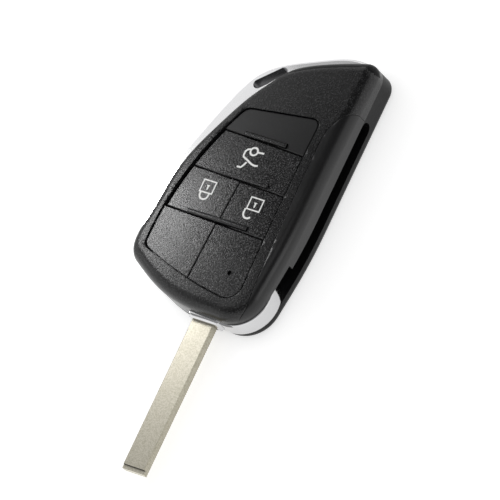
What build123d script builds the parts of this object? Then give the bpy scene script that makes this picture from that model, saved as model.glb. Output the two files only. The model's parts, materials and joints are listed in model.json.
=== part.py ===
from build123d import *
import os
from math import cos, radians, sin, tan

# Flip key remote shell, blade swung out, lying on its back
# Millimetres. X runs across the face, Y along the shell towards the key ring, Z up out of the face.
# Every piece is drawn about the blade's flip axis, which stands at X = 0, Y = 0. At the end the whole
# key is moved so that the centre of its footprint on the table is the origin.

# Heights, measured from the back of the shell
RIM_Z = 4.0                 # top of the back cover, floor of the blade slot
SLOT_Z = 8.3                # roof of the blade slot
DECK_Z = 10.3               # underside of the front cover along the chrome frame and over the hub
CREST_Z = 16.2              # highest point of the crowned face
CROWN_R = 600.0             # radius of the face's crown
CROWN_X = -12.0             # middle of the crown
CROWN_Y = 28.0

# Plan of the covers
CORNER_R = 10.0             # rounded corner round the flip axis
SIDE_X = 12.1               # straight flank over the blade slot
SPINE_X = 37.0              # reach of the curved flank
HEAD_Y = 72.95              # reach of the key ring end
SHOULDER = 4.5              # the straight flank ends this far short of it
SHOULDER_RUN = 4.8          # reach of the rounded shoulder across the head
FLARE_X = 0.75              # the flank is this far in beside the end of the rail
FLARE_Y = 26.0              # and has come out to its full reach here
HEEL_X = 3.7                # the heel rounds over this much of the curved flank
HEEL_Y = -1.3
EDGE_R = 3.8                # rolled edge of the front cover
SPINE_EDGE_R = 2.0          # rounding where the lean meets that roll
SPINE_LEAN = 30.0           # degrees, the curved flank leans in above the chrome
LEAN_START = 0.1            # the lean starts this far outside the flank
LEAN_SHARE = [0.0, 0.05, 0.5, 0.95, 1.0, 1.0, 1.0, 1.0, 0.7, 0.0]    # from the head to the heel
BELLY_R = 2.6               # rolled edge of the back cover
WALL = 2.2                  # wall of both covers
FLOOR = 1.6                 # floor of the back cover

# Panel of buttons, sunk into the face
PANEL_LEFT = 31.7           # lower left corner, left of the flip axis
PANEL_RIGHT = 3.8
PANEL_TOP = 52.6
PANEL_FOOT = 5.0            # lower right corner, below the flip axis
PANEL_SINK = 0.55           # keys lie this far under the face
PANEL_BEVEL = 0.18          # broken edge round every key and plate
PANEL_FLOOR_Z = 13.2        # floor that the fixed panels are set on
PLATE_Z = 12.0              # underside of that floor, which traps the keys
PANEL_FIT = 0.22            # clearance between the panels and the cover
SEAM = 0.4                  # clearance between neighbouring panels
ROW_TURN = -2.0             # degrees, the rows dip to the right
COLUMN_TURN = 4.0           # degrees, the columns lean over
ROW_1 = (-10.0, 41.25)      # a point on each dividing line
ROW_2 = (-12.0, 28.6)
ROW_3 = (-13.7, 15.25)
COLUMN_A = (-12.1, 23.0)
COLUMN_B = (-13.65, 6.4)

# Raised bars between the rows, felt with the thumb
BAR_WIDTH = 1.25
BAR_STAND = 0.35            # above the face
BAR_LIFT = 0.3              # from the dividing line to the bar
BAR_FIT = 0.2
BAR_BEVEL = 0.3
BAR_1 = (-16.9, -2.9)       # left and right ends
BAR_2 = (-18.6, -2.7)
BAR_3 = (-23.0, -2.9)

# Keys and what lies under them
KEY_TRAVEL = 0.5
KEY_FLANGE = 0.8            # thickness of the flange that holds a key in
KEY_LIP = 0.8               # reach of that flange under the cover
KEY_WALL = 1.1
KEY_GROOVE = 0.6            # extra room at the left end of each key's cap
KEY_ROOF_Z = 12.9           # underside of a key's cap
POST_R = 2.0                # stem in the middle of a key
RIB = 1.2                   # width of the guide frame's ribs
RIB_FIT = 0.25
FRAME_WALL = 1.2
FRAME_EDGE = 1.6            # the guide frame stays this far inside the covers
FRAME_FLOOR = 0.8
SHEET = 0.5                 # silicone sheet
DOME_R = 3.4
LED_R = 0.7
LED_SINK = 0.8              # the light pipe ends this far under its plate
LED_PLACE = (-2.25, 2.9)

# Side rail over the blade slot
RAIL_X_FOOT = 7.1           # its seam, at the foot and at the head
RAIL_X_HEAD = 6.3
RAIL_TURN_Y = 46.0          # where the seam starts to sweep to the flank
RAIL_END_Y = 57.7           # where it reaches the flank
RAIL_WALL = 1.6
CORE_EDGE_R = 1.5           # rounding of the form under the rail
RAIL_SEAM = 0.12

# Blade, hub and the slot that the folded blade lies in
HUB_R = 10.4
HUB_EDGE_R = 0.35
HUB_FIT = 0.05              # running clearance over and under the hub
BLADE_LEFT = 11.7
BLADE_WIDTH = 7.4
BLADE_THICK = 2.75
BLADE_Z = 6.1               # middle of the blade
BLADE_TIP = 57.0            # from the flip axis
TIP_STEP = 1.2
TIP_RELIEF = 0.7
BLADE_BEVEL = 0.35
TANG_LEFT = 10.2
TANG_WIDTH = 4.6
TANG_LENGTH = 4.5
TANG_FIT = 0.03
NECK_LEFT = 11.9
NECK_RIGHT = 3.0
NECK_END = 10.9
NECK_FIT = 0.3
NECK_STEP = 0.9             # length of the lower step at the neck's end
NECK_STEP_Z = 9.1           # and its height
SOCKET_DEEP = 0.5           # the blade's shank stands this deep in the neck
SOCKET_FIT = 0.25           # gap above, below and beside it
SLOT_WALL_X = 3.9           # side of the slot next to the circuit bay
SLOT_WALL = 1.5
SLOT_END = 58.0
HEAD_BLOCK_Y = 55.0         # the back cover's end block starts here
SLOT_START = 11.25
PIN_R = 0.8
PIN_FIT = 0.02
PIN_BORE = 0.45
PIN_SPLIT = 0.3
PIN_PLACE = (-7.9, -8.6)

# Release button and spring, inside the hub
BUTTON_R = 4.9
BUTTON_FIT = 0.05
BUTTON_SINK = 0.3           # face of the button above the resting plane
BUTTON_BEVEL = 0.4
DISH_R = 15.0               # hollow for the thumb
DISH_DEPTH = 0.6
BUTTON_TRAVEL = 1.2
COLLAR_R = 6.2
COLLAR_HIGH = 1.0
COLLAR_FIT = 0.1
LUG_GAP = 0.1               # lugs stand this far above the collar
LUG_REACH = 7.3
LUG_WIDTH = 2.0
LUG_THICK = 1.2
LUG_FIT = 0.3
FLANGE_THICK = 0.9
CAVITY_R = COLLAR_R + COLLAR_FIT
CAVITY_ROOF_Z = 9.0
BOSS_R = 2.9
BOSS_FIT = 0.05
BOSS_SLOT = 1.5             # depth of the slot across the boss that holds the spring
SPRING_R = 4.6
WIRE = 0.8
LEG_R = 0.36                # the spring's drawn legs are a little thinner than its coil
SPRING_TURNS = 2.5

# Chrome frame with the key ring loop
RING_SLOT_LENGTH = 10.8
RING_SLOT_WIDTH = 2.8
RING_SLOT_PLACE = (-20.7, 61.1)
RING_SLOT_TURN = 42.7
CHROME_BEVEL = 0.9
CHROME_END_X = 10.2
CHROME_FOOT_X = -30.0       # the cover's own skirt closes the side from here to the neck
CHROME_GAP = 0.1
CHROME_LIP = 0.45           # width of the raised lip along the cover
CHROME_LIP_HIGH = 0.3

# Screws
SCREW_R = 0.9
SCREW_HEAD_R = 1.7
SCREW_HEAD = 1.1
SCREW_LENGTH = 8.0
SCREW_FIT = 0.05
SCREW_SINK = 0.2            # head below the back
SCREW_EDGE = 0.05           # straight edge of the head
SCREW_BOTTOM = 0.5          # free depth under the screw's end
DRIVER_WIDTH = 0.4
DRIVER_DEPTH = 0.5
BOSS_WALL = 1.25
SCREWS = [(-32.2, 5.6), (-20.6, 48.6), (7.4, 65.0)]

# Tray that carries the circuit board and the coin cell
TRAY_FIT = 0.15
TRAY_WALL = 1.2
TRAY_FLOOR_Z = 5.4
TRAY_FLOOR = 1.2
CELL_R = 10.3
CELL_WALL = 1.0
CELL_PLACE = (-16.5, 27.0)

REACH = 200.0               # longer than anything in the key
CURVE_STEPS = 10            # points on each free curve of a drawn-in outline


# Heights that follow from those above
FLANGE_Z = PLATE_Z - KEY_FLANGE             # underside of the keys
LEDGE_Z = FLANGE_Z - KEY_TRAVEL             # where a pressed key stops
FRAME_Z = LEDGE_Z - FRAME_FLOOR             # underside of the guide frame
SHEET_Z = FRAME_Z - SHEET                   # underside of the silicone, top of the tray
COLLAR_Z = RIM_Z + COLLAR_HIGH
LUG_Z = COLLAR_Z + LUG_GAP
SPRING_Z = LUG_Z + FLANGE_THICK
LUG_ROOF_Z = LUG_Z + LUG_THICK + BUTTON_TRAVEL + LUG_FIT


# Helpers

def slab(face, low, high):
    """A flat face stood up from one height to another."""
    return extrude(Pos(0, 0, low) * face, amount=high - low)


def crown(drop=0.0):
    """The ball whose top is the crowned face, lowered by drop."""
    return Pos(CROWN_X, CROWN_Y, CREST_Z - drop - CROWN_R) * Sphere(CROWN_R)


def block(x0, x1, y0, y1, z0, z1):
    """A box between two corners."""
    return Pos((x0 + x1) / 2, (y0 + y1) / 2, (z0 + z1) / 2) * Box(x1 - x0, y1 - y0, z1 - z0)


def rod(place, radius, low, high):
    """An upright cylinder."""
    return Pos(place[0], place[1], low) * Cylinder(
        radius, high - low, align=(Align.CENTER, Align.CENTER, Align.MIN))


def rim_edges(shape, high):
    """The outer edges of the face that looks straight up, or straight down."""
    order = shape.faces().sort_by(Axis.Z)
    return (order[-1] if high else order[0]).outer_wire().edges()


def drawn_in(face, amount):
    """A plan drawn in by amount, or out where it is negative, with its free curves smooth again."""
    edges = []
    for edge in offset(face, -amount).edges():
        if edge.geom_type in (GeomType.LINE, GeomType.CIRCLE):
            edges.append(edge)
        else:
            points = [edge @ (step / CURVE_STEPS) for step in range(CURVE_STEPS + 1)]
            edges.append(Spline(*points, tangents=(edge % 0, edge % 1)))
    return make_face(edges)


# Outlines

SPINE_SHAPE = [(-0.051, 0.961), (-0.349, 0.894), (-0.481, 0.843), (-0.592, 0.773),
               (-0.780, 0.598), (-0.937, 0.392), (-0.997, 0.155), (-1.0, 0.062)]
SPINE_POINTS = [(x * SPINE_X, y * HEAD_Y) for x, y in SPINE_SHAPE]


def case_face():
    """Plan of both covers."""
    corner = CenterArc((0, 0), CORNER_R, -96, 89)
    flare = Spline(corner @ 1, (SIDE_X - FLARE_X, SLOT_START - 0.65), (SIDE_X, FLARE_Y),
                   tangents=(corner % 1, (0, 1)))
    flank = Line(flare @ 1, (SIDE_X, HEAD_Y - SHOULDER))
    shoulder = Spline(flank @ 1, (SIDE_X - SHOULDER_RUN, HEAD_Y), tangents=((0, 1), (-0.97, -0.26)))
    spine = Spline(shoulder @ 1, *SPINE_POINTS, tangents=(shoulder % 1, (0, -1)))
    heel = Spline(spine @ 1, (-SPINE_X + HEEL_X, HEEL_Y), tangents=((0, -1), (0.86, -0.5)))
    belly = Spline(heel @ 1, (-0.63 * SPINE_X, -0.65 * CORNER_R), (-0.33 * SPINE_X, -0.93 * CORNER_R),
                   corner @ 0, tangents=(heel % 1, corner % 0))
    return make_face([corner, flare, flank, shoulder, spine, heel, belly])


def panel_face():
    """Plan of the sunk panel of buttons."""
    left = ThreePointArc((-PANEL_LEFT, 3.1), (-PANEL_LEFT + 3.0, 28.2), (-PANEL_LEFT + 11.5, PANEL_TOP - 3.0))
    top = Line(left @ 1, (PANEL_RIGHT, PANEL_TOP))
    right = Line(top @ 1, (PANEL_RIGHT, -PANEL_FOOT))
    foot = ThreePointArc(right @ 1, (-13.0, -2.65), left @ 0)
    face = make_face([left, top, right, foot])
    corners = face.vertices()
    face = fillet(corners.sort_by_distance((-PANEL_LEFT + 11.5, PANEL_TOP - 3.0))[0], 3.4)
    face = fillet(face.vertices().sort_by_distance((PANEL_RIGHT, PANEL_TOP))[0], 2.4)
    face = fillet(face.vertices().sort_by_distance((PANEL_RIGHT, -PANEL_FOOT))[0], 5.0)
    return fillet(face.vertices().sort_by_distance((-PANEL_LEFT, 3.1))[0], 2.6)


def beyond(place, turn, gap=0.0):
    """The half of the plane on the left of a line through place, turned from +X, less a strip of it."""
    half = Pos(0, REACH / 2 + gap) * Rectangle(2 * REACH, REACH)
    return Pos(*place) * Rot(0, 0, turn) * half


def above(row, gap=0.0):
    return beyond(row, ROW_TURN, gap)


def below(row, gap=0.0):
    return beyond(row, ROW_TURN + 180, gap)


def left_of(column, gap=0.0):
    return beyond(column, 90 - COLUMN_TURN, gap)


def right_of(column, gap=0.0):
    return beyond(column, -90 - COLUMN_TURN, gap)


def window_face(grow=0.0):
    """The part of the panel that is cut through for the three keys."""
    middle = panel if grow == 0 else drawn_in(panel, -grow)
    return middle & above(ROW_3, -grow) & below(ROW_1, -grow)


def rail_face(gap=0.0):
    """Everything on the outer side of the side rail's seam."""
    foot = (RAIL_X_FOOT + gap, -3.5)
    head = (RAIL_X_HEAD + gap, RAIL_TURN_Y)
    bend = Spline((4.2 + gap, -REACH / 20), foot, tangents=((0.5, 0.86), (0, 1)))
    seam = Line(foot, head)
    sweep = Spline(head, (SIDE_X, RAIL_END_Y - gap), tangents=((0, 1), (0.8, 0.6)))
    out = Polyline(sweep @ 1, (REACH / 8, RAIL_END_Y - gap), (REACH / 8, -REACH / 20), bend @ 0)
    return make_face([bend, seam, sweep, out])


def neck_face(grow=0.0):
    """Plan of the hub's neck, which carries the blade out of the shell."""
    left = -NECK_LEFT - grow
    return make_face(Polyline(
        (-HUB_R * cos(radians(14)) - grow, -HUB_R * sin(radians(14)) + 4 * grow), (left, -NECK_END + 0.9),
        (left, -NECK_END - grow), (-NECK_RIGHT + grow, -NECK_END - grow),
        (-HUB_R * cos(radians(77)) + grow, -HUB_R * sin(radians(77))), (0, 0), close=True))


def hub_room_face(grow=NECK_FIT):
    """Floor space that the hub and its neck need, open and folded."""
    neck = neck_face(grow)
    return Circle(HUB_R + grow) + neck + Rot(0, 0, 180) * neck


def bay_face(fit=0.0):
    """Plan of the hollow on the circuit board's side of the shell, less a clearance all round."""
    side = SLOT_WALL_X - SLOT_WALL - fit
    bay = drawn_in(case, WALL + fit) & (Pos(side - REACH / 2, 0) * Rectangle(REACH, REACH))
    return bay - drawn_in(hub_room, -WALL / 2 - fit)


def frame_face():
    """Plan of the guide frame under the keys."""
    return window_face(KEY_LIP + RIB_FIT + FRAME_WALL) & drawn_in(case, FRAME_EDGE)


def bar_face(bar, row, grow=0.0):
    """Plan of one raised bar, just above its dividing line."""
    low = row[1] + BAR_LIFT + tan(radians(ROW_TURN)) * ((bar[0] + bar[1]) / 2 - row[0])
    wide = bar[1] - bar[0] + 2 * grow
    return Pos((bar[0] + bar[1]) / 2, low + BAR_WIDTH / 2) * Rectangle(wide, BAR_WIDTH + 2 * grow)


def bar_solid(bar, row, low):
    """One raised bar with bevelled ends and edges."""
    solid = slab(bar_face(bar, row), low, CREST_Z + 2) & crown(-BAR_STAND)
    return chamfer(rim_edges(solid, True), BAR_BEVEL)


case = case_face()
panel = panel_face()
hub_room = hub_room_face()
bay = bay_face()
window = window_face()
screw_bosses = [Pos(*place) * Circle(SCREW_R + BOSS_WALL) for place in SCREWS]


# Covers

def lean_outline(height):
    """The curved flank at one height, drawn in as it leans, closed far outside the other sides."""
    ends = [(SIDE_X - SHOULDER_RUN, HEAD_Y)] + SPINE_POINTS + [(-SPINE_X + HEEL_X, HEEL_Y)]
    line = Spline(*ends)
    points = []
    for place, share in zip(ends, LEAN_SHARE):
        inward = (line % line.param_at_point(Vector(*place))).rotate(Axis.Z, 90)
        reach = share * tan(radians(SPINE_LEAN)) * (height - DECK_Z) - LEAN_START
        points.append(Vector(*place) + inward * reach)
    side = Spline(*points)
    far = Polyline(side @ 1, (0, -REACH), (REACH, 0), (SIDE_X, REACH), side @ 0)
    return Pos(0, 0, height) * make_face([side, far])


def case_top():
    """The front cover's outside: crowned, with rolled edges, its curved flank leaning in."""
    solid = slab(case, SLOT_Z, CREST_Z + 1) & crown()
    lean = loft([lean_outline(SLOT_Z - 1), lean_outline(CREST_Z + 1)], ruled=True)
    solid = fillet(rim_edges(solid, True), EDGE_R) & lean
    flank = solid.faces().filter_by(GeomType.BSPLINE).sort_by(SortBy.AREA)[-1]
    crease = [edge for edge in flank.edges() if edge.center().Z > (DECK_Z + CREST_Z) / 2]
    return fillet(crease, SPINE_EDGE_R)


def rail_core():
    """The form under the side rail's shell."""
    solid = slab(drawn_in(case, RAIL_WALL), SLOT_Z, CREST_Z + 1) & crown(RAIL_WALL)
    return fillet(rim_edges(solid, True), CORE_EDGE_R)


def chrome_face():
    """Plan of the chrome's outer sweep, closed roughly inside the covers."""
    points = [(0.063, 1.009), (-0.254, 0.961), (-0.552, 0.893), (-0.681, 0.840), (-0.777, 0.755),
              (-0.928, 0.543), (-1.022, 0.368), (-1.0455, 0.209), (-1.035, 0.09)]
    sweep_line = Spline((CHROME_END_X + 0.6, HEAD_Y - 1.2), *[(x * SPINE_X, y * HEAD_Y) for x, y in points],
                        (-SPINE_X + 0.4, 1.8))
    return make_face([sweep_line, Polyline(sweep_line @ 1, (-20, 20), (0, 40), sweep_line @ 0)])


def trim_chrome(shape, depth=0.0):
    """Cuts the chrome's plan, or its solid, back to its two ends and hollows it."""
    tools = [drawn_in(case, WALL),
             Pos(CHROME_END_X + REACH / 2, 0) * Rectangle(REACH, 2 * REACH),
             Pos(SLOT_WALL_X + REACH / 2, HEAD_Y - SHOULDER - REACH / 2) * Rectangle(REACH, REACH),
             Pos(CHROME_FOOT_X + REACH / 2, -REACH / 4 + 20) * Rectangle(REACH, REACH / 2)]
    for tool in tools:
        shape -= slab(tool, RIM_Z - depth, DECK_Z + depth) if depth else tool
    return shape


def chrome_band():
    """Plan of the chrome frame."""
    return trim_chrome(chrome_face() + case).faces().sort_by(SortBy.AREA)[-1]


band = chrome_band()


def skirt_face():
    """Plan of the cover's skirt, which closes the side between the chrome's foot and the hub's neck."""
    left = CHROME_FOOT_X + CHROME_GAP
    side = Pos((left - NECK_LEFT) / 2, 0) * Rectangle(-NECK_LEFT - left, REACH)
    wall = (case - drawn_in(case, WALL) - hub_room) & side
    return wall.faces().sort_by(Axis.Y)[0]


def front_cover():
    body = case_top()
    rail_side = slab(rail_face(), SLOT_Z, CREST_Z + 2)
    body = (body - rail_side) + (rail_core() & rail_side)
    # The cover reaches down to the slot's roof only over the blade slot
    over_slot = block(SLOT_WALL_X - SLOT_WALL, REACH, SLOT_START, REACH, SLOT_Z, DECK_Z)
    body -= slab(case, SLOT_Z, DECK_Z) - over_slot
    body -= slab(band, SLOT_Z, DECK_Z)
    # Wall between the blade slot and the circuit bay
    body += block(SLOT_WALL_X - SLOT_WALL, SLOT_WALL_X, SLOT_START, HEAD_BLOCK_Y, RIM_Z, SLOT_Z)
    body -= slab(bay, RIM_Z, PLATE_Z)
    body -= slab(frame_face(), SHEET_Z, PLATE_Z)
    # Sunk panel, its window for the keys, and the two bars that stand on the cover
    body -= slab(panel, PANEL_FLOOR_Z, CREST_Z + 2)
    body -= slab(window, DECK_Z, CREST_Z + 2)
    body += bar_solid(BAR_1, ROW_1, PANEL_FLOOR_Z)
    body += bar_solid(BAR_3, ROW_3, PLATE_Z)
    body += slab(skirt_face(), RIM_Z, DECK_Z)
    # Screw bosses and the boss that the hub turns on
    for place, boss in zip(SCREWS, screw_bosses):
        if place[0] < SLOT_WALL_X:
            body += slab(boss, FLOOR, PLATE_Z)
        body -= rod(place, SCREW_R, FLOOR, FLOOR + SCREW_LENGTH)
    slot_z = CAVITY_ROOF_Z - BOSS_SLOT
    body += rod((0, 0), BOSS_R, slot_z, DECK_Z)
    body -= block(-WIRE * 0.65, WIRE * 0.65, -BOSS_R, BOSS_R, slot_z, CAVITY_ROOF_Z)
    return body


def side_rail():
    gapped = slab(rail_face(RAIL_SEAM), SLOT_Z, CREST_Z + 2)
    rail = (case_top() & gapped) - rail_core()
    step = block(-REACH, REACH, -REACH, SLOT_START, SLOT_Z, DECK_Z)
    return rail - step


def back_cover():
    body = fillet(rim_edges(slab(case, 0, RIM_Z), False), BELLY_R)
    # Block that closes the end of the blade slot
    head = case & (Pos(REACH / 2 + SLOT_WALL_X - SLOT_WALL, HEAD_BLOCK_Y + REACH / 2) * Rectangle(REACH, REACH))
    body += slab(head - band, RIM_Z, SLOT_Z)
    slot_high = SLOT_Z - RIM_Z
    body -= block(SLOT_WALL_X, REACH, 0, SLOT_END - slot_high / 2, RIM_Z, SLOT_Z)
    end = Rot(0, 90, 0) * Cylinder(slot_high / 2, REACH, align=(Align.CENTER, Align.CENTER, Align.MIN))
    body -= Pos(SLOT_WALL_X, SLOT_END - slot_high / 2, RIM_Z + slot_high / 2) * end
    body -= slab(bay, FLOOR, SLOT_Z)
    # Bore for the release button, with the notched collar that locks its lugs
    body += rod((0, 0), COLLAR_R, RIM_Z, COLLAR_Z)
    body -= rod((0, 0), BUTTON_R + BUTTON_FIT, 0, COLLAR_Z)
    lug_room = LUG_WIDTH + LUG_FIT
    body -= block(-COLLAR_R - 1, COLLAR_R + 1, -lug_room / 2, lug_room / 2, RIM_Z, COLLAR_Z)
    for place in SCREWS:
        body -= rod(place, SCREW_R + SCREW_FIT, 0, SLOT_Z)
        body -= screw_head(place, SCREW_FIT)
    return body


def chrome_frame():
    """Bright trim between the covers, with the slot for the key ring."""
    sweep_body = slab(chrome_face(), RIM_Z, DECK_Z)
    swept = [edge for edge in sweep_body.edges().filter_by(GeomType.BSPLINE)]
    sweep_body = chamfer(swept, CHROME_BEVEL)
    lip = (drawn_in(case, -CHROME_LIP) - case) & drawn_in(chrome_face(), CHROME_BEVEL)
    solid = trim_chrome(sweep_body + slab(case, RIM_Z, DECK_Z), 1.0)
    solid += slab(lip, DECK_Z, DECK_Z + CHROME_LIP_HIGH)
    slot = Pos(*RING_SLOT_PLACE) * Rot(0, 0, RING_SLOT_TURN) * SlotOverall(RING_SLOT_LENGTH, RING_SLOT_WIDTH)
    solid -= slab(slot, RIM_Z, DECK_Z)
    return solid.solids().sort_by(SortBy.VOLUME)[-1]


# Screws

def screw_head(place, grow=0.0):
    cone = Cone(SCREW_HEAD_R + grow, SCREW_R + grow, SCREW_HEAD, align=(Align.CENTER, Align.CENTER, Align.MIN))
    edge = rod(place, SCREW_HEAD_R + grow, 0 if grow else SCREW_SINK, SCREW_SINK + SCREW_EDGE)
    return Pos(place[0], place[1], SCREW_SINK) * cone + edge


def case_screw(place):
    solid = rod(place, SCREW_R, SCREW_SINK, FLOOR + SCREW_LENGTH - SCREW_BOTTOM) + screw_head(place)
    x, y = place
    half = DRIVER_WIDTH / 2
    return solid - block(x - SCREW_R, x + SCREW_R, y - half, y + half, 0, SCREW_SINK + DRIVER_DEPTH)


# Panel pieces

def panel_piece(cell, low, sink=PANEL_SINK):
    """A panel or key cap: one cell of the panel, cut off by the crown."""
    solid = slab(drawn_in(panel, PANEL_FIT) & cell, low, CREST_Z + 2) & crown(sink)
    return chamfer(rim_edges(solid, True), PANEL_BEVEL)


def badge_panel():
    solid = panel_piece(above(ROW_1, SEAM / 2), PANEL_FLOOR_Z)
    return solid - slab(bar_face(BAR_1, ROW_1, BAR_FIT), DECK_Z, CREST_Z + 2)


def blank_left():
    return panel_piece(below(ROW_3, SEAM / 2) & left_of(COLUMN_B, SEAM / 2), PANEL_FLOOR_Z)


def blank_right():
    solid = panel_piece(below(ROW_3, SEAM / 2) & right_of(COLUMN_B, SEAM / 2), PANEL_FLOOR_Z)
    return solid - rod(LED_PLACE, LED_R, PANEL_FLOOR_Z, CREST_Z + 2)


def led_window():
    return rod(LED_PLACE, LED_R, PANEL_FLOOR_Z, CREST_Z + 2) & crown(PANEL_SINK + LED_SINK)


def cell(sides, gap, rib_gap):
    """The region between dividing lines. Sides with a rib of the guide frame keep their own gap."""
    region = Rectangle(2 * REACH, 2 * REACH)
    for side, line, ribbed in sides:
        region = region & side(line, rib_gap if ribbed else gap)
    return region


def key(sides, rooms):
    """A sprung key: cap, hollow skirt, flange under the cover and a stem for the dome."""
    seam = SEAM / 2
    rib_gap = RIB / 2 + RIB_FIT
    inner = cell(sides, seam, rib_gap)
    shifted = Pos(KEY_GROOVE, 0) * drawn_in(panel, PANEL_FIT)
    solid = panel_piece(shifted & cell(sides, seam, seam), KEY_ROOF_Z)
    solid += slab(drawn_in(panel, PANEL_FIT) & inner, FLANGE_Z, KEY_ROOF_Z)
    solid += slab(drawn_in(panel, -KEY_LIP) & inner, FLANGE_Z, PLATE_Z)
    pocket = drawn_in(panel, PANEL_FIT + KEY_WALL) & cell(sides, seam + KEY_WALL, rib_gap + KEY_WALL)
    solid -= slab(pocket, FLANGE_Z, KEY_ROOF_Z)
    for room in rooms:
        solid -= slab(room, DECK_Z, CREST_Z + 2)
    return solid + rod(stem_place(sides), POST_R, FLANGE_Z, KEY_ROOF_Z)


def stem_place(sides):
    """Middle of a key, where its stem stands on the dome."""
    middle = (panel & cell(sides, 0, 0)).center()
    return (middle.X, middle.Y)


BAR_2_ROOM = bar_face(BAR_2, ROW_2, BAR_FIT)
BAR_3_ROOM = bar_face(BAR_3, ROW_3, BAR_FIT)
KEYS = {
    "trunk_key": ([(below, ROW_1, False), (above, ROW_2, True)], [BAR_2_ROOM]),
    "lock_key": ([(below, ROW_2, True), (above, ROW_3, False), (left_of, COLUMN_A, True)], [BAR_3_ROOM]),
    "unlock_key": ([(below, ROW_2, True), (above, ROW_3, False), (right_of, COLUMN_A, True)], [BAR_3_ROOM]),
}


def key_frame():
    """Guide frame under the keys: stop ledge, ribs between the keys and the middle bar."""
    solid = slab(frame_face() - window_face(-0.4), FRAME_Z, LEDGE_Z)
    solid += slab(frame_face() - window_face(KEY_LIP + RIB_FIT), LEDGE_Z, PLATE_Z)
    row = above(ROW_2, -RIB / 2) & below(ROW_2, -RIB / 2)
    column = left_of(COLUMN_A, -RIB / 2) & right_of(COLUMN_A, -RIB / 2) & below(ROW_2)
    solid += slab(window_face() & (row + column), FRAME_Z, PLATE_Z + 0.3)
    solid += slab(window_face(KEY_LIP + RIB_FIT) & (row + column), FRAME_Z, PLATE_Z)
    solid -= slab(BAR_3_ROOM, PLATE_Z, CREST_Z)
    return solid + bar_solid(BAR_2, ROW_2, FRAME_Z)


def keypad_membrane():
    """Silicone sheet with a dome under each key's stem."""
    sheet = slab(window_face(KEY_LIP), SHEET_Z, FRAME_Z)
    for sides, _ in KEYS.values():
        place = stem_place(sides)
        dome = Cone(DOME_R, POST_R, FLANGE_Z - FRAME_Z, align=(Align.CENTER, Align.CENTER, Align.MIN))
        sheet += Pos(place[0], place[1], FRAME_Z) * dome
    return sheet


def board_tray():
    """Tray for the circuit board, with the coin cell's ring on its underside."""
    plan = bay_face(TRAY_FIT)
    hollow = bay_face(TRAY_FIT + TRAY_WALL)
    for place in SCREWS:
        room = Pos(*place) * Circle(SCREW_R + BOSS_WALL + TRAY_FIT)
        plan -= room
        hollow -= Pos(*place) * Circle(SCREW_R + BOSS_WALL + TRAY_FIT + TRAY_WALL)
    solid = slab(plan, FLOOR, SHEET_Z)
    solid -= slab(hollow, TRAY_FLOOR_Z + TRAY_FLOOR, SHEET_Z)
    solid -= slab(hollow, FLOOR, TRAY_FLOOR_Z)
    ring = rod(CELL_PLACE, CELL_R + CELL_WALL, FLOOR, TRAY_FLOOR_Z) - rod(CELL_PLACE, CELL_R, FLOOR, TRAY_FLOOR_Z)
    return solid + ring


# Blade and hub

def blade_hub():
    """Chrome head that carries the blade, with the release mechanism's cavity in its underside."""
    low = RIM_Z + HUB_FIT
    high = DECK_Z - HUB_FIT
    solid = slab(Circle(HUB_R) + neck_face(), low, high)
    solid = fillet(rim_edges(solid, True) + rim_edges(solid, False), HUB_EDGE_R)
    solid -= block(-REACH, REACH, -REACH, -NECK_END + NECK_STEP, NECK_STEP_Z, high)
    solid -= rod((0, 0), CAVITY_R, low, CAVITY_ROOF_Z)
    solid -= rod((0, 0), BOSS_R + BOSS_FIT, low, high)
    lug_room = LUG_WIDTH + LUG_FIT
    reach = LUG_REACH + LUG_FIT
    solid -= block(-reach, reach, -lug_room / 2, lug_room / 2, low, LUG_ROOF_Z)
    solid -= block(-WIRE * 0.75, WIRE * 0.75, 0, reach, low, LUG_ROOF_Z)
    gap = TANG_FIT
    solid -= block(-TANG_LEFT - gap, -TANG_LEFT + TANG_WIDTH + gap, -REACH, -NECK_END + TANG_LENGTH + gap,
                   BLADE_Z - BLADE_THICK / 2 - gap, BLADE_Z + BLADE_THICK / 2 + gap)
    solid -= block(-REACH, -BLADE_LEFT + BLADE_WIDTH + SOCKET_FIT, -REACH, -NECK_END + SOCKET_DEEP,
                   BLADE_Z - BLADE_THICK / 2 - SOCKET_FIT, BLADE_Z + BLADE_THICK / 2 + SOCKET_FIT)
    return solid - rod(PIN_PLACE, PIN_R + PIN_FIT, low, CAVITY_ROOF_Z)


def key_blade():
    """Uncut blank: shank with bevelled edges, stepped tip, and the tang held in the hub."""
    low = BLADE_Z - BLADE_THICK / 2
    high = BLADE_Z + BLADE_THICK / 2
    left = -BLADE_LEFT
    right = left + BLADE_WIDTH
    shank = block(left, right, -BLADE_TIP, -NECK_END + SOCKET_DEEP, low, high)
    shank = chamfer(shank.edges().filter_by(Axis.Y), BLADE_BEVEL)
    shank -= block(left - 1, right + 1, -BLADE_TIP, -BLADE_TIP + TIP_STEP, high - TIP_RELIEF, high + 1)
    tang = block(-TANG_LEFT, -TANG_LEFT + TANG_WIDTH, -NECK_END, -NECK_END + TANG_LENGTH, low, high)
    return (shank + tang) - rod(PIN_PLACE, PIN_R + PIN_FIT, low, high)


def roll_pin():
    low = RIM_Z + HUB_FIT
    solid = rod(PIN_PLACE, PIN_R, low, CAVITY_ROOF_Z - 0.1) - rod(PIN_PLACE, PIN_BORE, low, CAVITY_ROOF_Z)
    x, y = PIN_PLACE
    return solid - block(x, x + 2 * PIN_R, y - PIN_SPLIT / 2, y + PIN_SPLIT / 2, low, CAVITY_ROOF_Z)


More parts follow.
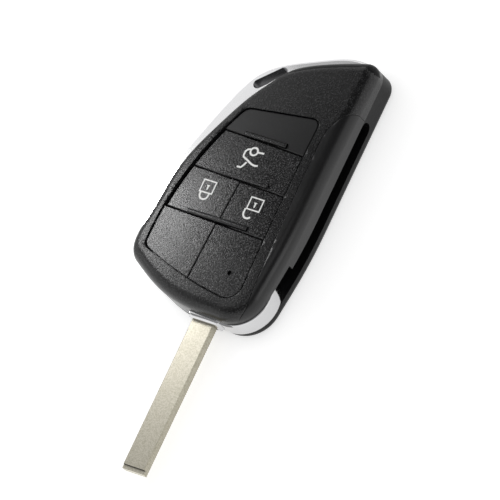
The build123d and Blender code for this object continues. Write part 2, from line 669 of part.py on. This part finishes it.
def release_button():
    """Thumb button on the back, with two lugs that lock the hub to the back cover's collar."""
    solid = rod((0, 0), BUTTON_R, BUTTON_SINK, LUG_Z)
    solid = chamfer(rim_edges(solid, False), BUTTON_BEVEL)
    solid += rod((0, 0), COLLAR_R - COLLAR_FIT, LUG_Z, SPRING_Z)
    lugs = block(-LUG_REACH, LUG_REACH, -LUG_WIDTH / 2, LUG_WIDTH / 2, LUG_Z, LUG_Z + LUG_THICK)
    lugs -= rod((0, 0), SPRING_R + WIRE, SPRING_Z, CAVITY_ROOF_Z)
    solid += lugs
    dish = Pos(0, 0, BUTTON_SINK + DISH_DEPTH - DISH_R) * Sphere(DISH_R)
    return solid - dish - rod((0, 0), BOSS_R + 0.2, RIM_Z, REACH)


def torsion_spring():
    """Coil that swings the blade out and pushes the button back, with a leg at each end."""
    low = SPRING_Z + WIRE / 2 + 0.02
    high = CAVITY_ROOF_Z - WIRE / 2 - 0.02
    path = Pos(0, 0, low) * Rot(0, 0, 90) * Helix((high - low) / SPRING_TURNS, high - low, SPRING_R)
    section = Plane(origin=path @ 0, z_dir=path % 0) * Circle(WIRE / 2)
    coil = sweep(section, path=path, is_frenet=True)
    hub_leg = LUG_REACH - SPRING_R
    boss_leg = SPRING_R - WIRE
    coil += Pos(0, SPRING_R + hub_leg / 2, low) * Rot(90, 0, 0) * Cylinder(LEG_R, hub_leg)
    return coil + Pos(0, boss_leg / 2 - SPRING_R, high) * Rot(90, 0, 0) * Cylinder(LEG_R, boss_leg)


def footprint_shift(pieces):
    """Moves the centre of the footprint to the origin."""
    boxes = [piece.bounding_box() for piece in pieces.values()]
    low_x, low_y = min(box.min.X for box in boxes), min(box.min.Y for box in boxes)
    high_x, high_y = max(box.max.X for box in boxes), max(box.max.Y for box in boxes)
    return Pos(-(low_x + high_x) / 2, -(low_y + high_y) / 2, 0)


pieces = {
    "front_cover": front_cover(),
    "side_rail": side_rail(),
    "back_cover": back_cover(),
    "chrome_frame": chrome_frame(),
    "badge_panel": badge_panel(),
    "trunk_key": key(*KEYS["trunk_key"]),
    "lock_key": key(*KEYS["lock_key"]),
    "unlock_key": key(*KEYS["unlock_key"]),
    "blank_left": blank_left(),
    "blank_right": blank_right(),
    "led_window": led_window(),
    "key_frame": key_frame(),
    "keypad_membrane": keypad_membrane(),
    "board_tray": board_tray(),
    "blade_hub": blade_hub(),
    "key_blade": key_blade(),
    "roll_pin": roll_pin(),
    "release_button": release_button(),
    "torsion_spring": torsion_spring(),
}
for number, place in enumerate(SCREWS, start=1):
    pieces[f"case_screw_{number}"] = case_screw(place)

shift = footprint_shift(pieces)
os.makedirs("parts", exist_ok=True)
for name, solid in pieces.items():
    export_step(shift * solid, f"parts/{name}.step")
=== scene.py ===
import json
import math

import bmesh
import bpy
from mathutils import Matrix, Vector


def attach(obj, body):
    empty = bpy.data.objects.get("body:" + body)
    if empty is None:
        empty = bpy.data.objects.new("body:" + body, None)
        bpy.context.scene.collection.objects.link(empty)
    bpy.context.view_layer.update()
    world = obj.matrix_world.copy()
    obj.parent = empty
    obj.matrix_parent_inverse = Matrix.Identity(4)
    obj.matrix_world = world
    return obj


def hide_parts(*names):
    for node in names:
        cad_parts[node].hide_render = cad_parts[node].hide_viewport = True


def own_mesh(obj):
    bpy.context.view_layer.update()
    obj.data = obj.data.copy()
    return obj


# Looks of a flip key remote shell: grained black covers and keys, a satin side rail, bright plated trim,
# a nickel silver blade and white key symbols. Everything stands in the frame's own metres.

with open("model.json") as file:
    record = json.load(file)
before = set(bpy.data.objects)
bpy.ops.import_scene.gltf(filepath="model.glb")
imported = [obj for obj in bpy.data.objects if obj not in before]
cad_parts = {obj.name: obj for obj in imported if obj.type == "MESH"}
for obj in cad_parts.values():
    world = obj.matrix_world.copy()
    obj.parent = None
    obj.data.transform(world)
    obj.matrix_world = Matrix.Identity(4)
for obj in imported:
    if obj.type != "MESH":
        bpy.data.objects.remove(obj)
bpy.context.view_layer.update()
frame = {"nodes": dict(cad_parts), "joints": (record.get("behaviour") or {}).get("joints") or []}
nodes = frame["nodes"]
flip_joint = next(joint for joint in frame["joints"] if joint["name"] == "blade_flip")
FLIP_AXIS = Vector(flip_joint["pos_m"]) * Vector((1, 1, 0))

MM = 0.001

# Every measure below is in millimetres unless it says otherwise, and every place is about the flip axis.

# Crown of the face
CROWN_RADIUS = 600.0
CROWN_MIDDLE = (-12.0, 28.0)
CREST = 16.2
KEY_SINK = 0.55             # keys lie this far under the face

# Roundings of the mouldings, and the groove round the panel
MERGE_REACH = 0.002         # corners of a node's loose triangles closer than this are one
SHARP_EDGE = math.radians(35)
FACE_WEIGHT = 100           # how much a large face counts in the shading, so that it stays flat
EDGE_ROUND = 0.08           # outer edges of the cover and the rail
EDGE_LOW = 12.0             # from this height up
PANEL_SIDE = 3.6            # right side of the panel pieces
FOOT_MIDDLE = (11.3, 109.5)  # middle and radius of the arc at the panel's foot
FOOT_RADIUS = 114.8
SIDE_GROOVE = 0.38          # the pieces are drawn in by this much at the right side
FOOT_GROOVE = 0.2           # and by this much at the foot
GROOVE_REACH = 4.0          # the drawing in fades out over this length

# Chrome trim and its key ring slot
RING_SLOT = (-20.7, 61.1, 0)
RING_SLOT_TURN = math.radians(42.7)
RING_SLOT_HALF = 4.0        # half of its straight length
RING_SLOT_RADIUS = 1.45
CHROME_DECK = 10.3          # the raised lip along the cover stands on this height
LIP_ABOVE = 0.1             # a face this far above the deck is the lip's
WALL_SLOPE = 0.7            # a face whose normal rises less than this is a wall

# Flank of the front cover along the chrome trim, where it is painted darker as shade: two places along the shell,
# and four parts of a face's normal
FLANK_LOW = 6.0             # the painted shade on the flank starts here and runs to the key ring end
FLANK_STEEP = 50.0          # from here on it stands upright
FLANK_OUT = 0.3             # its faces look outwards by at least this
FLANK_LEAN = 0.3            # and upwards by at least this where it leans
FLANK_UPRIGHT = -0.1        # or by this where it stands upright
FLANK_CREST = 0.9           # and by less than this

# Blade
SIDE_SLOPE = 0.6            # a face whose normal turns this far sideways or forwards isn't rolled
STEP_BACK = 0.4             # the step at the tip lies at least this far behind it

# Key symbols
LINE_WIDTH = 0.56           # painted line
PAINT_STAND = 0.03          # paint above the key
PAINT_EDGE = math.radians(40)
LOCK_BODY = (4.1, 3.6)
# Strokes of the keyhole from the body's middle, each from a place to a place, and as wide as its last number
KEYHOLE = ((0, 0.5, 0, 0.2, 0.95), (0, 0.3, 0, -0.6, 0.5), (-0.2, -0.7, 0.2, -0.7, 0.6))
CLOSED_LOCK = (-20.4, 24.4)
OPEN_LOCK = (-3.9, 23.6)
SHACKLE = 1.4               # radius of a padlock's bow
CLOSED_BOW = (-0.1, -0.7)   # middle of the bow from the middle of the body's edge
OPEN_BOW = (-0.95, -1.35)
CLOSED_END = 360            # where the bow ends, in degrees
OPEN_END = 325
BOOT_WHEEL = (-11.7, 37.95)
WHEEL_RADIUS = 1.15

# Sizes of the patterns in the materials
CLOUD = 9.0                 # clouding of a moulded face
HAZE = 6.0                  # handling haze on plating
DRAWN_LINE = 0.3            # width and length of a drawing line
DRAWN_LENGTH = 6.0
STAIN = 3.5
PIT = 0.4
PRINT_GRAIN = 0.5

# Camera, at the photograph's viewing angle
VIEW_RIGHT = Vector((0.8124, 0.4204, -0.4039))
VIEW_UP = Vector((-0.2603, 0.8815, 0.3939))
VIEW_MIDDLE = FLIP_AXIS + Vector((0.61, 10.91, 15.1)) * MM
VIEW_WIDTH = 137.7
LENS = 600.0
SENSOR = 36.0
VIEW_REACH = 10.0           # metres

# Light levels
EVEN_LIGHT = 0.5            # on what doesn't shine
WALL_LIGHT = 0.9            # what shines sees this at the height of the walls
CEILING_LIGHT = 0.07        # and this overhead
WALL_TOP = 0.45             # up to this height of a direction the room is wall
CEILING_LOW = 0.8           # and from this height on it is ceiling
PAPER_WHITE = 0.8           # what the paper reflects
PAPER_SHOWN = 0.6           # what it adds to the camera and in metal

# Floor
FLOOR_SIZE = 6.0            # metres
FLOOR_DROP = 0.02           # gap under the back, so that the two faces don't flicker


# Colours

def linear(colour):
    """An sRGB hex colour as linear light."""
    channels = [int(colour[place:place + 2], 16) / 255 for place in (1, 3, 5)]
    return tuple(c / 12.92 if c <= 0.04045 else ((c + 0.055) / 1.055) ** 2.4 for c in channels) + (1.0,)


def grey(level):
    """A neutral linear colour."""
    return (level, level, level, 1.0)


# Materials

def add(tree, kind, settings=None, links=None):
    """Adds one node with its settings and the links into it. A socket goes by its name or its number."""
    node = tree.nodes.new(kind)
    for name, value in (settings or {}).items():
        if isinstance(name, int) or name in node.inputs.keys():
            node.inputs[name].default_value = value
        else:
            setattr(node, name, value)
    for name, source in (links or {}).items():
        tree.links.new(source, node.inputs[name])
    return node


def start_material(name):
    """A material with an empty tree, its output node and its Object coordinates."""
    material = bpy.data.materials.new(name)
    material.use_nodes = True
    tree = material.node_tree
    tree.nodes.clear()
    return material, tree, add(tree, "ShaderNodeOutputMaterial"), add(tree, "ShaderNodeTexCoord")


def moulded_plastic(name, colour, facet_colour, roughness, grain_size, grain_depth, shine=0.5):
    """Moulded plastic whose grain has facets that catch the light.

    The grain's size and depth are in millimetres. The real grain is nearer 0.15 mm, and it is drawn coarser, so
    that the eye finds it at this distance.
    """
    material, tree, output, place = start_material(name)
    point = place.outputs["Object"]
    grain = add(tree, "ShaderNodeTexNoise", {"Scale": 1 / (grain_size * MM), "Detail": 1.0, "Roughness": 0.6},
                {"Vector": point})
    facets = add(tree, "ShaderNodeMapRange", {"From Min": 0.5, "From Max": 0.75}, {"Value": grain.outputs["Fac"]})
    cloud = add(tree, "ShaderNodeTexNoise", {"Scale": 1 / (CLOUD * MM), "Detail": 2.0}, {"Vector": point})
    tint = add(tree, "ShaderNodeMix", {"data_type": "RGBA", 6: linear(colour), 7: linear(facet_colour)},
               {0: facets.outputs["Result"]})
    rough = add(tree, "ShaderNodeMapRange", {"To Min": roughness - 0.05, "To Max": roughness + 0.05},
                {"Value": cloud.outputs["Fac"]})
    bump = add(tree, "ShaderNodeBump", {"Strength": 1.0, "Distance": grain_depth * MM},
               {"Height": grain.outputs["Fac"]})
    shader = add(tree, "ShaderNodeBsdfPrincipled", {"IOR": 1.52, "Specular IOR Level": shine},
                 {"Base Color": tint.outputs[2], "Roughness": rough.outputs["Result"],
                  "Normal": bump.outputs["Normal"]})
    tree.links.new(shader.outputs["BSDF"], output.inputs["Surface"])
    return material


def plated_metal(name, colour, roughness):
    """Bright plated metal, with the slight haze that handling leaves on it."""
    material, tree, output, place = start_material(name)
    haze = add(tree, "ShaderNodeTexNoise", {"Scale": 1 / (HAZE * MM), "Detail": 4.0, "Roughness": 0.55},
               {"Vector": place.outputs["Object"]})
    rough = add(tree, "ShaderNodeMapRange", {"To Min": roughness * 0.8, "To Max": roughness * 1.25},
                {"Value": haze.outputs["Fac"]})
    shader = add(tree, "ShaderNodeBsdfPrincipled", {"Base Color": linear(colour), "Metallic": 1.0},
                 {"Roughness": rough.outputs["Result"]})
    tree.links.new(shader.outputs["BSDF"], output.inputs["Surface"])
    return material


def blade_metal(name, colour, dull_colour, roughness):
    """Rolled nickel silver strip, drawn along the blade, finely pitted and faintly stained.

    The real lines and pits are finer and are drawn coarser, so that the face keeps its speckle.
    """
    material, tree, output, place = start_material(name)
    point = place.outputs["Object"]
    drawing = (1 / (DRAWN_LINE * MM), 1 / (DRAWN_LENGTH * MM), 1 / (DRAWN_LINE * MM))
    stretched = add(tree, "ShaderNodeMapping", {"Scale": drawing}, {"Vector": point})
    lines = add(tree, "ShaderNodeTexNoise", {"Scale": 1.0, "Detail": 3.0}, {"Vector": stretched.outputs["Vector"]})
    stain = add(tree, "ShaderNodeTexNoise", {"Scale": 1 / (STAIN * MM), "Detail": 4.0}, {"Vector": point})
    pits = add(tree, "ShaderNodeTexNoise", {"Scale": 1 / (PIT * MM), "Detail": 2.0}, {"Vector": point})
    dull = add(tree, "ShaderNodeMapRange", {"From Min": 0.35, "From Max": 0.7}, {"Value": pits.outputs["Fac"]})
    tint = add(tree, "ShaderNodeMix", {"data_type": "RGBA", 6: linear(colour), 7: linear(dull_colour)},
               {0: dull.outputs["Result"]})
    rough = add(tree, "ShaderNodeMapRange", {"To Min": roughness - 0.06, "To Max": roughness + 0.08},
                {"Value": stain.outputs["Fac"]})
    drawn = add(tree, "ShaderNodeBump", {"Strength": 0.3, "Distance": 0.004 * MM}, {"Height": lines.outputs["Fac"]})
    bump = add(tree, "ShaderNodeBump", {"Strength": 1.0, "Distance": 0.002 * MM},
               {"Height": pits.outputs["Fac"], "Normal": drawn.outputs["Normal"]})
    shader = add(tree, "ShaderNodeBsdfPrincipled", {"Metallic": 1.0},
                 {"Base Color": tint.outputs[2], "Roughness": rough.outputs["Result"],
                  "Normal": bump.outputs["Normal"]})
    tree.links.new(shader.outputs["BSDF"], output.inputs["Surface"])
    return material


def pad_print(name, colour, thin_colour):
    """Pad-printed lacquer: clear white lines, slightly uneven where they cover the grain."""
    material, tree, output, place = start_material(name)
    cover = add(tree, "ShaderNodeTexNoise", {"Scale": 1 / (PRINT_GRAIN * MM), "Detail": 2.0},
                {"Vector": place.outputs["Object"]})
    tint = add(tree, "ShaderNodeMix", {"data_type": "RGBA", 6: linear(colour), 7: linear(thin_colour)},
               {0: cover.outputs["Fac"]})
    shader = add(tree, "ShaderNodeBsdfPrincipled", {"Roughness": 0.45}, {"Base Color": tint.outputs[2]})
    tree.links.new(shader.outputs["BSDF"], output.inputs["Surface"])
    return material


def dress(material, *names):
    """Gives CAD nodes a material."""
    for name in names:
        mesh = nodes[name].data
        mesh.materials.clear()
        mesh.materials.append(material)


# Black ABS with a spark-eroded grain: a dark face with fine grey specks
dress(moulded_plastic("ABS spark grain black", "#0E0E0F", "#3A3A3B", 0.26, 0.42, 0.05), "front_cover")
# The back in the same black ABS, flatter and without specks
dress(moulded_plastic("ABS back black", "#0B0B0C", "#161617", 0.42, 0.42, 0.03, shine=0.2), "back_cover")
# Satin black ABS: an even, soft sheen along the rail and on the thumb button
dress(moulded_plastic("ABS satin black", "#131314", "#1C1C1D", 0.3, 0.42, 0.02), "side_rail", "release_button")
# Smooth black ABS: a plain, slightly lighter plate
dress(moulded_plastic("ABS smooth black", "#19191A", "#1F1F20", 0.32, 0.6, 0.008), "badge_panel")
# Black ABS with a coarse, glinting grain: keys that sparkle grey beside the smoother panel
dress(moulded_plastic("ABS key grain black", "#0E0E0F", "#626263", 0.2, 0.36, 0.045),
      "trunk_key", "lock_key", "unlock_key", "blank_left", "blank_right", "key_frame")
# Matt grey silicone rubber, with hardly a highlight
dress(moulded_plastic("Silicone rubber grey", "#3A3A3C", "#404042", 0.7, 0.8, 0.004), "keypad_membrane")
# Plain black ABS of an inner part, dull all over
dress(moulded_plastic("ABS tray black", "#1B1B1C", "#1F1F20", 0.5, 0.6, 0.006), "board_tray")
# Smoked, polished light pipe: a black glassy dot
dress(moulded_plastic("Light pipe smoked", "#060606", "#080808", 0.12, 0.6, 0.001, shine=0.2), "led_window")
# Bright chrome plate: it mirrors the white room, slightly hazy
bright_chrome = plated_metal("Chrome plate bright", "#CFCFD0", 0.12)
dress(bright_chrome, "blade_hub", "chrome_frame")
# Nickel silver: a warm, pale metal with a fine speckle and soft highlights
rolled_face = blade_metal("Nickel silver strip", "#D9D4C6", "#BEB9A6", 0.34)
dress(rolled_face, "key_blade")
# Plain spring steel, a satin grey
dress(plated_metal("Spring steel wire", "#B4B4B2", 0.3), "torsion_spring", "roll_pin")
# Blackened steel, a dark metallic sheen
dress(plated_metal("Steel screw blackened", "#4A4A4A", 0.35), "case_screw_1", "case_screw_2", "case_screw_3")


# Merged copies of CAD nodes, with the small roundings and the groove that the real mouldings show

def merged_copy(name, body):
    """A copy of a CAD node with its loose triangles merged, shown in its place."""
    piece = bpy.data.objects.new(name + "_skin", nodes[name].data.copy())
    bpy.context.scene.collection.objects.link(piece)
    bpy.ops.object.select_all(action="DESELECT")
    piece.select_set(True)
    bpy.context.view_layer.objects.active = piece
    bpy.ops.object.mode_set(mode="EDIT")
    bpy.ops.mesh.select_all(action="SELECT")
    bpy.ops.mesh.remove_doubles(threshold=MERGE_REACH * MM)
    bpy.ops.mesh.customdata_custom_splitnormals_clear()
    bpy.ops.object.mode_set(mode="OBJECT")
    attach(piece, body)
    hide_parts(name)
    return piece


def round_edges(piece, width, low):
    """Rounds the outer sharp edges above a height."""
    bpy.ops.object.mode_set(mode="EDIT")
    bpy.ops.mesh.select_all(action="DESELECT")
    shape = bmesh.from_edit_mesh(piece.data)
    for edge in shape.edges:
        high = all(vertex.co.z > low * MM for vertex in edge.verts)
        edge.select = high and edge.is_manifold and edge.calc_face_angle_signed() > SHARP_EDGE
    bmesh.update_edit_mesh(piece.data)
    bpy.ops.mesh.bevel(offset=width * MM, segments=2, clamp_overlap=False)
    bpy.ops.object.mode_set(mode="OBJECT")


def even_shading(piece):
    """Smooth shading that leaves the large faces flat."""
    bpy.ops.object.shade_smooth_by_angle(angle=SHARP_EDGE)
    bpy.ops.object.modifier_add(type="WEIGHTED_NORMAL")
    piece.modifiers[-1].keep_sharp = True
    piece.modifiers[-1].weight = FACE_WEIGHT
    bpy.ops.object.modifier_apply(modifier=piece.modifiers[-1].name)


def draw_in(piece):
    """Draws a panel piece in at the panel's right side and foot, where the groove round the panel shows."""
    for vertex in piece.data.vertices:
        x, y, _ = (vertex.co - FLIP_AXIS) / MM
        side = min(1.0, max(0.0, (x - PANEL_SIDE + GROOVE_REACH) / GROOVE_REACH))
        depth = FOOT_RADIUS - math.hypot(x - FOOT_MIDDLE[0], y - FOOT_MIDDLE[1])
        foot = min(1.0, max(0.0, 1 - depth / GROOVE_REACH))
        vertex.co += Vector((-SIDE_GROOVE * side, FOOT_GROOVE * foot, 0)) * MM


def chrome_painted_light(piece, bright, lip_highlight_metal, slot_shade_metal):
    """Chrome is painted brighter on the raised lip along the cover as a highlight line, and painted grey inside the
    key ring slot as shade.
    """
    piece.data.materials.clear()
    for metal in (bright, lip_highlight_metal, slot_shade_metal):
        piece.data.materials.append(metal)
    cosine, sine = math.cos(RING_SLOT_TURN), math.sin(RING_SLOT_TURN)
    for face in piece.data.polygons:
        x, y, z = (face.center - FLIP_AXIS) / MM - Vector(RING_SLOT)
        along = abs(x * cosine + y * sine)
        reach = math.hypot(max(0.0, along - RING_SLOT_HALF), y * cosine - x * sine)
        slot = reach < RING_SLOT_RADIUS and abs(face.normal.z) < WALL_SLOPE
        # Index 1 is the painted highlight on the lip, index 2 the painted shade in the slot
        face.material_index = 2 if slot else 1 if z > CHROME_DECK + LIP_ABOVE else 0


def blade_painted_shade(piece, face_metal, side_shade_metal, step_shadow_metal):
    """The narrow sides of the blade are sheared, rougher than its rolled faces and painted darker as shade, and its
    step is painted dark as a shadow line.
    """
    piece.data.materials.clear()
    for metal in (face_metal, side_shade_metal, step_shadow_metal):
        piece.data.materials.append(metal)
    tip = min(vertex.co.y for vertex in piece.data.vertices)
    for face in piece.data.polygons:
        step = face.normal.y < -SIDE_SLOPE and face.center.y > tip + STEP_BACK * MM
        # Index 1 is the painted shade on the sides, index 2 the painted shadow at the step
        face.material_index = 2 if step else 1 if abs(face.normal.x) > SIDE_SLOPE else 0


def flank_painted_shade(piece, flank_shade_plastic):
    """The leaning flank along the chrome is painted darker than the face as shade, with darker specks and less
    shine.
    """
    piece.data.materials.append(flank_shade_plastic)
    for face in piece.data.polygons:
        x, y, z = (face.center - FLIP_AXIS) / MM
        outward = face.normal.y > FLANK_OUT or face.normal.x < -FLANK_OUT
        leaning = (FLANK_UPRIGHT if y > FLANK_STEEP else FLANK_LEAN) < face.normal.z < FLANK_CREST
        flank = y > FLANK_LOW and z > CHROME_DECK and outward and leaning
        # Index 1 carries the painted shade of the flank
        face.material_index = 1 if flank else 0


for name in ("front_cover", "side_rail"):
    moulding = merged_copy(name, "shell")
    round_edges(moulding, EDGE_ROUND, EDGE_LOW)
    even_shading(moulding)
    if name == "front_cover":
        # The same black ABS with darker specks and less shine: painted shade that gives a dull, deep black edge
        # beside the chrome
        flank_painted_shade(moulding, moulded_plastic("ABS flank black with painted shade", "#0E0E0F", "#2A2A2B", 0.45, 0.42, 0.02, shine=0.1))
for name, body in (("badge_panel", "shell"), ("blank_left", "shell"), ("blank_right", "shell"),
                   ("trunk_key", "trunk"), ("lock_key", "lock"), ("unlock_key", "unlock")):
    moulding = merged_copy(name, body)
    draw_in(moulding)
    even_shading(moulding)

# The spring, a merged copy with a mesh of its own that rides with the blade; its fixed end is in the hub
spring = merged_copy("torsion_spring", "blade")
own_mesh(spring)

# The same chrome plate, with a painted highlight as a light line on the lip, and painted shade that makes it grey
# inside the slot
trim = merged_copy("chrome_frame", "shell")
even_shading(trim)
chrome_painted_light(trim, bright_chrome, plated_metal("Chrome plate painted lip highlight", "#F6F6F6", 0.2),
                plated_metal("Chrome plate painted slot shade", "#5E5E60", 0.2))

# Nickel silver as it is sheared and rougher, with painted shade that makes a darker stripe along the blade, and a
# painted shadow as a dark line at the step
blank = merged_copy("key_blade", "blade")
even_shading(blank)
blade_painted_shade(blank, rolled_face, blade_metal("Nickel silver sheared side with painted shade", "#B9B4A4", "#9E9988", 0.36),
             blade_metal("Nickel silver step with painted shadow", "#2E2C28", "#1E1D1A", 0.5))


# Key symbols, painted in lines on the keys. They read from the key ring end, as on the real keys.

# White lacquer, slightly thinner where it bridges the grain: crisp, bright lines with hardly a shine
symbol_paint = pad_print("Pad print white", "#FCFCFB", "#EDEDEB")


def key_height(x, y):
    """Height of the keys' crowned face at a place."""
    across = (x - CROWN_MIDDLE[0]) ** 2 + (y - CROWN_MIDDLE[1]) ** 2
    return CREST - KEY_SINK - CROWN_RADIUS + math.sqrt(CROWN_RADIUS ** 2 - across)


def arc(middle, radius, start, end, steps=10):
    """Points on an arc, from one angle in degrees to another."""
    angles = [math.radians(start + (end - start) * step / steps) for step in range(steps + 1)]
    return [(middle[0] + radius * math.cos(a), middle[1] + radius * math.sin(a)) for a in angles]


def painted_line(points, width=LINE_WIDTH, closed=False):
    """One painted line as a flattened tube along its points."""
    curve = bpy.data.curves.new("line", "CURVE")
    curve.dimensions = "3D"
    curve.bevel_depth = width / 2 * MM
    curve.bevel_resolution = 2
    curve.use_fill_caps = True
    spline = curve.splines.new("POLY")
    spline.points.add(len(points) - 1)
    for point, (x, y) in zip(spline.points, points):
        point.co = (x * MM, y * MM, 0, 1)
    spline.use_cyclic_u = closed
    line = bpy.data.objects.new("line", curve)
    bpy.context.scene.collection.objects.link(line)
    return line


def symbol(name, body, lines):
    """Joins painted lines to one symbol and lays it on its key."""
    bpy.ops.object.select_all(action="DESELECT")
    for line in lines:
        line.select_set(True)
    bpy.context.view_layer.objects.active = lines[0]
    bpy.ops.object.convert(target="MESH")
    bpy.ops.object.join()
    piece = bpy.context.object
    piece.name = name
    flat = 2 * PAINT_STAND / LINE_WIDTH
    for vertex in piece.data.vertices:
        x, y, z = vertex.co / MM
        vertex.co = FLIP_AXIS + Vector((x, y, key_height(x, y) + z * flat)) * MM
    bpy.ops.object.shade_smooth_by_angle(angle=PAINT_EDGE)
    piece.data.materials.append(symbol_paint)
    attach(piece, body)


def padlock(middle):
    """Square body with its keyhole."""
    x, y = middle
    wide, high = LOCK_BODY[0] / 2, LOCK_BODY[1] / 2
    corners = [(x - wide, y + high), (x + wide, y + high), (x + wide, y - high), (x - wide, y - high)]
    return [painted_line(corners, closed=True)] + [
        painted_line([(x + from_x, y + from_y), (x + to_x, y + to_y)], width)
        for from_x, from_y, to_x, to_y, width in KEYHOLE]


def bow(middle, offset, end):
    """Bow of a padlock, with its foot at the body's edge, up to an angle in degrees."""
    edge = middle[1] - LOCK_BODY[1] / 2
    points = arc((middle[0] + offset[0], edge + offset[1]), SHACKLE, 180, end)
    return [(points[0][0], edge)] + points


closed_bow = bow(CLOSED_LOCK, CLOSED_BOW, CLOSED_END)
closed_foot = (closed_bow[-1][0], closed_bow[0][1])
symbol("lock_symbol", "lock", padlock(CLOSED_LOCK) + [painted_line(closed_bow + [closed_foot])])
symbol("unlock_symbol", "unlock", padlock(OPEN_LOCK) + [painted_line(bow(OPEN_LOCK, OPEN_BOW, OPEN_END))])
# An open boot: the wheel, the outline of the rear, the sill and the raised lid
symbol("trunk_symbol", "trunk", [
    painted_line(arc(BOOT_WHEEL, WHEEL_RADIUS, 0, 360, 24)[:-1], closed=True),
    painted_line([(-13.0, 38.35), (-13.9, 38.0), (-14.35, 37.3), (-14.35, 36.2), (-14.1, 35.65), (-12.8, 35.15),
                  (-11.8, 34.7), (-10.7, 34.25), (-9.6, 34.05), (-8.6, 34.3)]),
    painted_line([(-10.55, 38.0), (-8.4, 38.2)]),
    painted_line([(-14.7, 32.45), (-13.5, 32.5), (-13.0, 33.2), (-12.45, 34.4)])])


# Camera and light

def place_camera():
    """The camera, so far away that the view is almost without perspective, as the photograph's is."""
    data = bpy.data.cameras.new("camera")
    data.lens = LENS
    data.sensor_width = SENSOR
    data.clip_end = VIEW_REACH
    camera = bpy.data.objects.new("camera", data)
    bpy.context.scene.collection.objects.link(camera)
    back = VIEW_RIGHT.cross(VIEW_UP).normalized()
    turned = Matrix((VIEW_RIGHT, VIEW_UP, back)).transposed().to_4x4()
    camera.matrix_world = Matrix.Translation(VIEW_MIDDLE + back * (VIEW_WIDTH * MM) * LENS / SENSOR) @ turned
    bpy.context.scene.camera = camera


def soft_box(name, place, target, wide, deep, level):
    """A soft box that looks at a target. A level of 1 is white in a mirror."""
    data = bpy.data.lights.new(name, "AREA")
    data.shape = "RECTANGLE"
    data.size = wide * MM
    data.size_y = deep * MM
    data.energy = level * math.pi * data.size * data.size_y
    lamp = bpy.data.objects.new(name, data)
    bpy.context.scene.collection.objects.link(lamp)
    start = FLIP_AXIS + Vector(place) * MM
    aim = start - (FLIP_AXIS + Vector(target) * MM)
    lamp.matrix_world = Matrix.Translation(start) @ aim.to_track_quat("Z", "Y").to_matrix().to_4x4()


def paper_floor():
    """White paper that shows white to the camera and in metal, and keeps the shadow."""
    bpy.ops.object.select_all(action="DESELECT")
    bpy.ops.mesh.primitive_plane_add(size=FLOOR_SIZE, location=(0, 0, -FLOOR_DROP * MM))
    floor = bpy.context.object
    floor.name = "floor"
    material, tree, output, _ = start_material("White paper")
    lit = add(tree, "ShaderNodeBsdfDiffuse", {"Color": grey(PAPER_WHITE)})
    shown = add(tree, "ShaderNodeEmission", {"Color": grey(1.0), "Strength": PAPER_SHOWN})
    both = add(tree, "ShaderNodeAddShader", links={0: lit.outputs[0], 1: shown.outputs[0]})
    rays = add(tree, "ShaderNodeLightPath")
    seen = add(tree, "ShaderNodeMath", {"operation": "MAXIMUM"},
               {0: rays.outputs["Is Camera Ray"], 1: rays.outputs["Is Glossy Ray"]})
    seen_through = add(tree, "ShaderNodeMath", {"operation": "MAXIMUM"},
                       {0: seen.outputs[0], 1: rays.outputs["Is Transmission Ray"]})
    choice = add(tree, "ShaderNodeMixShader",
                 links={0: seen_through.outputs[0], 1: lit.outputs[0], 2: both.outputs[0]})
    tree.links.new(choice.outputs[0], output.inputs["Surface"])
    floor.data.materials.append(material)


def studio_world():
    """Studio room: white to the camera, pale walls and a darker ceiling in what shines, even light on the rest."""
    world = bpy.data.worlds.new("studio")
    bpy.context.scene.world = world
    world.use_nodes = True
    tree = world.node_tree
    tree.nodes.clear()
    output = add(tree, "ShaderNodeOutputWorld")
    direction = add(tree, "ShaderNodeTexCoord")
    height = add(tree, "ShaderNodeSeparateXYZ", links={"Vector": direction.outputs["Generated"]})
    levels = {"From Min": WALL_TOP, "From Max": CEILING_LOW, "To Min": WALL_LIGHT, "To Max": CEILING_LIGHT}
    room = add(tree, "ShaderNodeMapRange", levels, {"Value": height.outputs["Z"]})
    even = add(tree, "ShaderNodeBackground", {"Color": grey(1.0), "Strength": EVEN_LIGHT})
    shine = add(tree, "ShaderNodeBackground", {"Color": grey(1.0)}, {"Strength": room.outputs["Result"]})
    white = add(tree, "ShaderNodeBackground", {"Color": grey(1.0), "Strength": 1.0})
    rays = add(tree, "ShaderNodeLightPath")
    seen = add(tree, "ShaderNodeMath", {"operation": "MAXIMUM"},
               {0: rays.outputs["Is Camera Ray"], 1: rays.outputs["Is Transmission Ray"]})
    lit = add(tree, "ShaderNodeMixShader",
              links={0: rays.outputs["Is Glossy Ray"], 1: even.outputs[0], 2: shine.outputs[0]})
    choice = add(tree, "ShaderNodeMixShader", links={0: seen.outputs[0], 1: lit.outputs[0], 2: white.outputs[0]})
    tree.links.new(choice.outputs[0], output.inputs["Surface"])


place_camera()
studio_world()
paper_floor()
# Each soft box by its place, its target, its width and depth, and its level
soft_box("left strip", (-106, 32, 115), (-22, 15, 15), 46, 16, 15)
soft_box("front card", (-100, -22, 106), (-10, -35, 8), 72, 120, 0.36)
soft_box("far left card", (-108, 80, 112), (-30, 45, 10), 46, 40, 1.2)
soft_box("top card", (-70, 114, 112), (-5, 70, 10), 50, 30, 0.6)
soft_box("neck card", (-71, 17, 115), (-6, -10, 12), 24, 20, 1.2)
soft_box("overhead card", (0, 0, 320), (0, 0, 0), 150, 150, 0.6)
soft_box("right card", (150, 12, 104), (-5, -10, 10), 60, 80, 0.9)
bpy.context.scene.view_settings.view_transform = "Standard"
